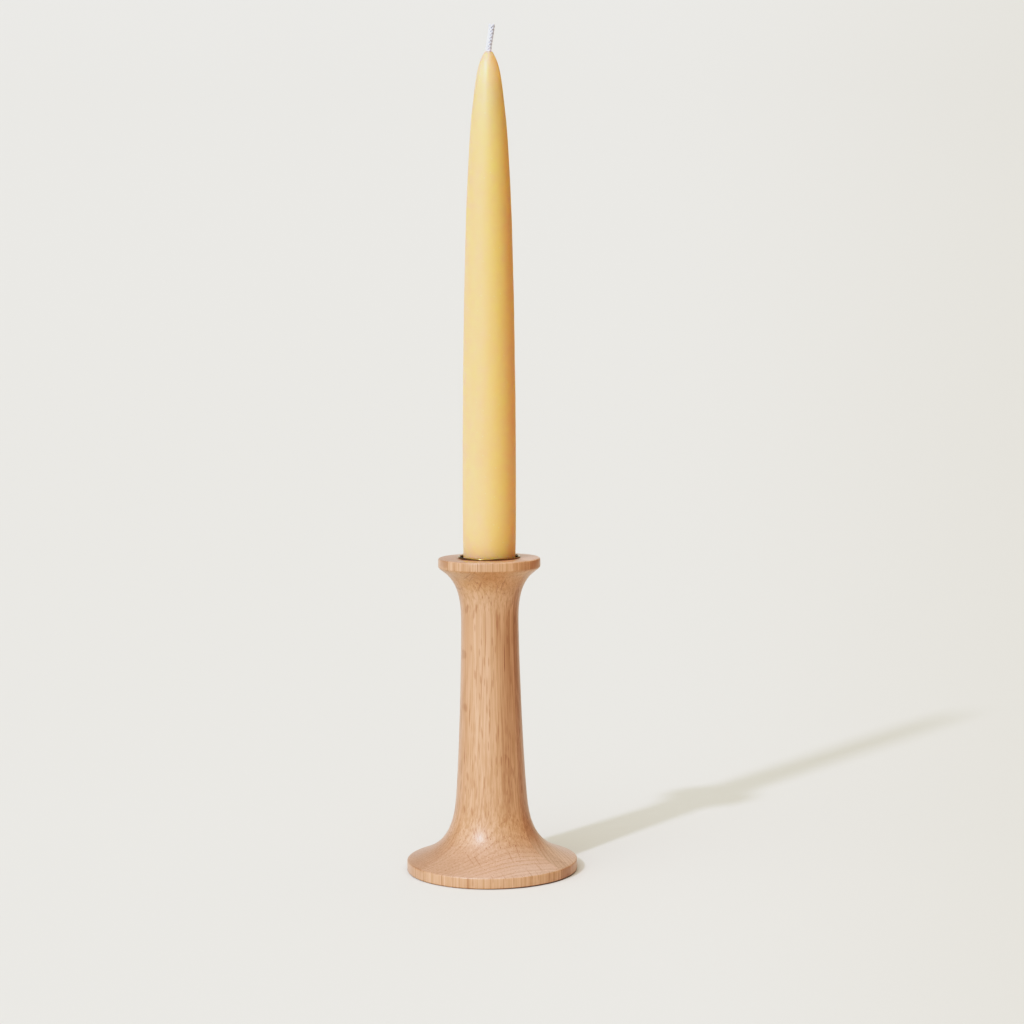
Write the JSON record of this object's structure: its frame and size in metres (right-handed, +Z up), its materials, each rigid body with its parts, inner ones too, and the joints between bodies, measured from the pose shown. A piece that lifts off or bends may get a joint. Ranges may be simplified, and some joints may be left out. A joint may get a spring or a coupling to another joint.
{
  "type": "candlestick",
  "caption": "Turned wooden candlestick with a thin round foot, slim waisted stem and flat rim, its brass cup holding a lift-out dipped taper candle.",
  "frame": {"origin": "centre of the underside, on the table", "axes": "+Z up along the turning axis and the candle; -Y towards the viewer; the loose candle leans half a degree towards +X, and the wick's free end a little more"},
  "size_m": [0.0726, 0.0726, 0.3563],
  "materials": {
    "oak_front": "pale oak, satin oiled",
    "oak_back": "pale oak, slightly darker board, satin oiled",
    "cup_brass": "polished, lightly handled",
    "screw_steel": "zinc plated",
    "felt": "matted wool felt",
    "wax": "dipped wax, satin, translucent",
    "cotton": "braided cotton"
  },
  "bodies": {
    "holder": {"oak_half_front": "oak_front", "oak_half_back": "oak_back", "candle_cup": "cup_brass", "cup_screw": "screw_steel", "felt_pad": "felt"},
    "taper": {"candle": "wax", "wick": "cotton"}
  },
  "joints": [
    {"name": "candle_lift", "type": "slide", "parent": "holder", "child": "taper", "axis": [0, 0, 1], "range_m": [0, 0.04]}
  ]
}
